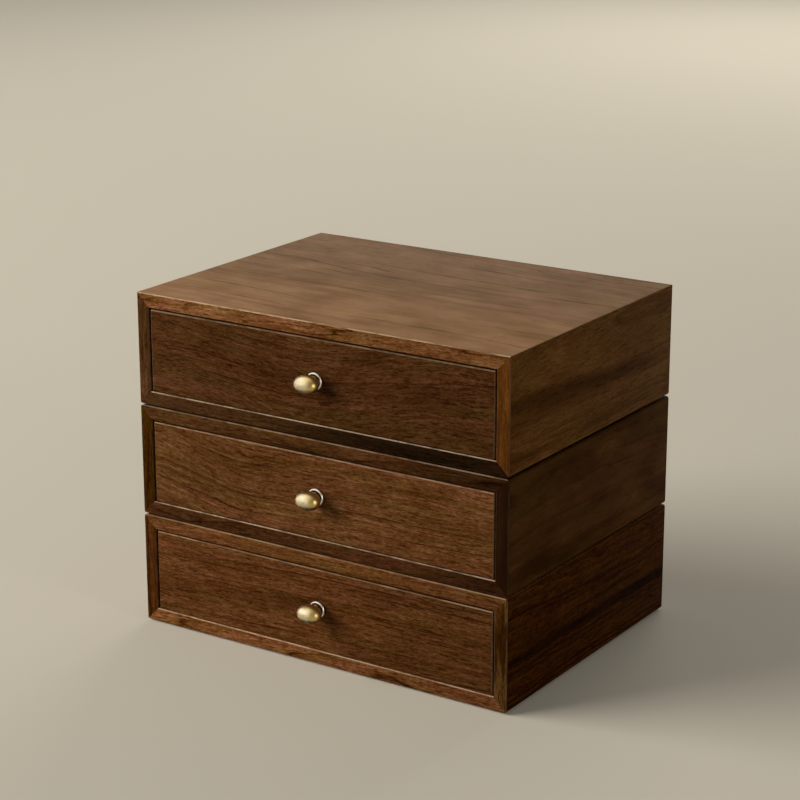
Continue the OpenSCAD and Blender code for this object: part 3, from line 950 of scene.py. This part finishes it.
def set_out_rows(name, source, material, body, slot, node, columns, rows, width, depth, middle):
    """Copies of the source in rows, turned to one plain mesh that stands for a node."""
    scene = bpy.context.scene
    carrier = bpy.data.objects.new(name, bpy.data.meshes.new(name))
    scene.collection.objects.link(carrier)
    rows_of = carrier.modifiers.new("Rows", "NODES")
    rows_of.node_group = rows_group()
    values = {"Source": source, "Columns": columns, "Rows": rows, "Width": width,
              "Depth": depth, "Middle": middle, "Material": material}
    for item in rows_of.node_group.interface.items_tree:
        if item.in_out == "INPUT":
            rows_of[item.identifier] = values[item.name]
    made = carrier.evaluated_get(bpy.context.evaluated_depsgraph_get())
    mesh = bpy.data.meshes.new_from_object(made)
    carrier.modifiers.clear()
    bpy.data.objects.remove(carrier)
    if not mesh.polygons:
        raise RuntimeError("no fixings were set out for " + node)
    mesh.name = name
    return make_piece(name, mesh, material, body, slot, node)


class MINIDRAWERS_OT_fixings(bpy.types.Operator):
    """Set out the felt pads and the bottom screws, and dress the knob screws"""

    bl_idname = "mini_drawers.fixings"
    bl_label = "Screws and pads"

    def execute(self, context):
        steel = metal_material("Zinc plated steel", (0.60, 0.60, 0.58), (0.36, 0.35, 0.33), 0.34)
        brass = metal_material("Brass screw", (0.66, 0.50, 0.25), (0.35, 0.24, 0.10), 0.36)
        felt = felt_material()
        for level in LEVELS:
            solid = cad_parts[level + "_knob_screw"]
            solid.data.materials.clear()
            solid.data.materials.append(steel)
            self.set_pads(level, felt)
            self.set_screws(level, brass)
        return {"FINISHED"}

    def set_pads(self, level, felt):
        node = level + "_felt_pads"
        low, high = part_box(node)
        radius, thick = 5.0 * MM, high.z - low.z
        pad = turned_fixing("Pad", [
            (0.0, 0.0), (radius - 0.25 * MM, 0.0), (radius, 0.2 * MM),
            (radius, thick - 0.15 * MM), (radius - 0.1 * MM, thick), (0.0, thick)], 48)
        middle = Vector(((low.x + high.x) / 2, (low.y + high.y) / 2, low.z))
        set_out_rows(node + "_discs", pad, felt, level + "_case", "felt", node, 2, 2,
                     high.x - low.x - 2 * radius, high.y - low.y - 2 * radius, middle)
        bpy.data.objects.remove(pad)

    def set_screws(self, level, brass):
        node = level + "_bottom_screws"
        low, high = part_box(node)
        head, shank, sink = 3.4 * MM, 1.6 * MM, 2.0 * MM
        long = high.z - low.z
        # A cross recess is too fine to be seen, so the head has a round dimple at its middle
        screw = turned_fixing("Screw", [
            (0.0, 0.9 * MM), (0.7 * MM, 0.6 * MM), (1.1 * MM, 0.0), (head - 0.1 * MM, 0.0),
            (head, 0.1 * MM), (shank, sink), (shank, long - 1.2 * MM), (0.2 * MM, long),
            (0.0, long)], 32)
        middle = Vector(((low.x + high.x) / 2, (low.y + high.y) / 2, low.z))
        set_out_rows(node + "_pair", screw, brass, level + "_drawer", "brass_screw", node, 2, 1,
                     high.x - low.x - 2 * head, 0.0, middle)
        bpy.data.objects.remove(screw)


def felt_material():
    material, bench = new_material("Dark felt")
    place = bench.node("ShaderNodeTexCoord").outputs["Object"]
    hairs = bench.noise(bench.vector("MULTIPLY", place, (2400.0, 2400.0, 1200.0)), 4.0, 0.7)
    fac = bench.step(hairs.outputs["Fac"], 0.3, 0.7)
    colour = bench.mix(fac, (0.030, 0.027, 0.024, 1.0), (0.075, 0.068, 0.060, 1.0))
    bump = bench.node("ShaderNodeBump", {"Strength": 0.6, "Distance": 0.0003, "Height": fac})
    shader = bench.node("ShaderNodeBsdfPrincipled", {
        "Base Color": colour, "Roughness": 0.95, "Normal": bump.outputs[0],
        "Sheen Weight": 0.4, "Sheen Roughness": 0.5})
    bench.node("ShaderNodeOutputMaterial", {"Surface": shader.outputs[0]})
    return material


HALF_FLOOR = 6.0
LIT_MIDDLE = Vector((0.0, 0.0, 0.12))
LAMP_COLOUR = (1.0, 0.97, 0.92)
ROOM_COLOUR = (1.0, 0.985, 0.95, 1.0)
# Where the window and the palest part of the room lie, seen from the boxes
WINDOW_WAY = Vector((-0.78, -0.30, 0.55)).normalized()
BACKDROP_WAY = Vector((-0.96, -0.12, 0.26)).normalized()
# Cosines of the angles from them at which their light starts and is full
WINDOW_SPREAD = (-0.1, 1.0)
BACKDROP_SPREAD = (-0.40, 0.60)
# Strength of the room's darkest part where the camera or polished brass sees it
DARK_ROOM = 0.10


class MINIDRAWERS_OT_stage(bpy.types.Operator):
    """Lay the floor, hang the lamps and set the viewpoint"""

    bl_idname = "mini_drawers.stage"
    bl_label = "Stage"

    def execute(self, context):
        stage = settings("stage")
        scene = context.scene
        scene.view_settings.view_transform = "Standard"
        self.lay_floor(scene, stage)
        self.light_room(scene, stage)
        key = self.hang_lamp(scene, "Key lamp", (-3.3, -2.35, 2.05), (3.6, 2.8), stage.key)
        back = self.hang_lamp(scene, "Back lamp", (-0.6, 3.4, 1.6), (2.4, 1.6), stage.back)
        # Brass shows the pale room in place of these two lamps, as it does in a light tent
        key.visible_glossy = False
        back.visible_glossy = False
        self.hang_lamp(scene, "Fill lamp", (2.1, -0.45, 0.45), (0.35, 0.9), stage.fill)
        self.set_viewpoint(scene)
        return {"FINISHED"}

    def lay_floor(self, scene, stage):
        mesh = bpy.data.meshes.new("Floor")
        mesh.from_pydata([(x * HALF_FLOOR, y * HALF_FLOOR, 0)
                          for x, y in ((-1, -1), (1, -1), (1, 1), (-1, 1))], [], [(0, 1, 2, 3)])
        floor = bpy.data.objects.new("Floor", mesh)
        scene.collection.objects.link(floor)
        material, bench = new_material("Plain pale floor")
        seen = bench.math("MULTIPLY", seen_ray(bench), stage.paleness)
        shader = bench.node("ShaderNodeBsdfPrincipled", {
            "Base Color": (*stage.floor, 1.0), "Roughness": 0.8, "Specular IOR Level": 0.2,
            "Emission Color": (*stage.floor, 1.0), "Emission Strength": seen})
        bench.node("ShaderNodeOutputMaterial", {"Surface": shader.outputs[0]})
        mesh.materials.append(material)

    def light_room(self, scene, stage):
        world = bpy.data.worlds.new("Room")
        scene.world = world
        world.use_nodes = True
        world.node_tree.nodes.clear()
        bench = NodeBench(world.node_tree)
        toward = bench.node("ShaderNodeTexCoord").outputs["Generated"]
        facing = bench.node("ShaderNodeVectorMath", {0: toward, 1: WINDOW_WAY},
                            operation="DOT_PRODUCT")
        window = bench.step(facing.outputs["Value"], *WINDOW_SPREAD, stage.room,
                            stage.room + stage.window)
        # The room that the camera and polished brass see is paler, above all at the left
        seen = seen_ray(bench)
        leftward = bench.node("ShaderNodeVectorMath", {0: toward, 1: BACKDROP_WAY},
                              operation="DOT_PRODUCT")
        pale = bench.step(leftward.outputs["Value"], *BACKDROP_SPREAD, DARK_ROOM, stage.backdrop)
        glow = bench.node("ShaderNodeBackground", {
            "Color": ROOM_COLOUR,
            "Strength": bench.math("MULTIPLY_ADD", seen, pale, window)})
        bench.node("ShaderNodeOutputWorld", {"Surface": glow.outputs[0]})

    def hang_lamp(self, scene, name, place, size, power):
        """Soft lamp at a place, turned to the middle of the boxes."""
        data = bpy.data.lights.new(name, "AREA")
        data.shape = "RECTANGLE"
        data.size, data.size_y = size
        data.energy = power
        data.color = LAMP_COLOUR
        lamp = bpy.data.objects.new(name, data)
        place = Vector(place)
        lamp.matrix_world = Matrix.Translation(place) @ (
            LIT_MIDDLE - place).to_track_quat("-Z", "Y").to_matrix().to_4x4()
        scene.collection.objects.link(lamp)
        return lamp

    def set_viewpoint(self, scene):
        """Camera at the place from which the boxes look as they do in the photograph."""
        data = bpy.data.cameras.new("Viewpoint")
        data.sensor_width = 36.0
        data.lens = 104.67
        data.clip_end = 50.0
        camera = bpy.data.objects.new("Viewpoint", data)
        camera.location = (0.8580, -1.2995, 0.6372)
        camera.rotation_euler = (
            math.radians(90.0 - 16.90), math.radians(0.06), math.radians(33.41))
        scene.collection.objects.link(camera)
        scene.camera = camera


# --- Panel and registration ---


class MINIDRAWERS_PT_panel(bpy.types.Panel):
    """Lists the steps that dress the mini drawers"""

    bl_idname = "MINIDRAWERS_PT_panel"
    bl_label = "Mini drawers"
    bl_space_type = "VIEW_3D"
    bl_region_type = "UI"
    bl_category = "Mini drawers"

    def draw(self, context):
        for step in STEPS:
            self.layout.operator(step.bl_idname)


STEPS = (
    MINIDRAWERS_OT_stage, MINIDRAWERS_OT_case_boards, MINIDRAWERS_OT_drawer_fronts,
    MINIDRAWERS_OT_knobs, MINIDRAWERS_OT_drawer_boxes, MINIDRAWERS_OT_fixings,
)
SETTINGS = {
    "walnut": WalnutSettings, "drawer_wood": DrawerWoodSettings, "brass": BrassSettings,
    "knob": KnobSettings, "stage": StageSettings,
}


def register():
    for name, group in SETTINGS.items():
        bpy.utils.register_class(group)
        setattr(bpy.types.Scene, "mini_drawers_" + name, bpy.props.PointerProperty(type=group))
    for step in STEPS:
        bpy.utils.register_class(step)
    bpy.utils.register_class(MINIDRAWERS_PT_panel)


def unregister():
    bpy.utils.unregister_class(MINIDRAWERS_PT_panel)
    for step in reversed(STEPS):
        bpy.utils.unregister_class(step)
    for name, group in SETTINGS.items():
        delattr(bpy.types.Scene, "mini_drawers_" + name)
        bpy.utils.unregister_class(group)


def main():
    register()
    bpy.ops.mini_drawers.stage()
    bpy.ops.mini_drawers.case_boards()
    bpy.ops.mini_drawers.drawer_fronts()
    bpy.ops.mini_drawers.knobs()
    bpy.ops.mini_drawers.drawer_boxes()
    bpy.ops.mini_drawers.fixings()


if __name__ == "__main__":
    main()
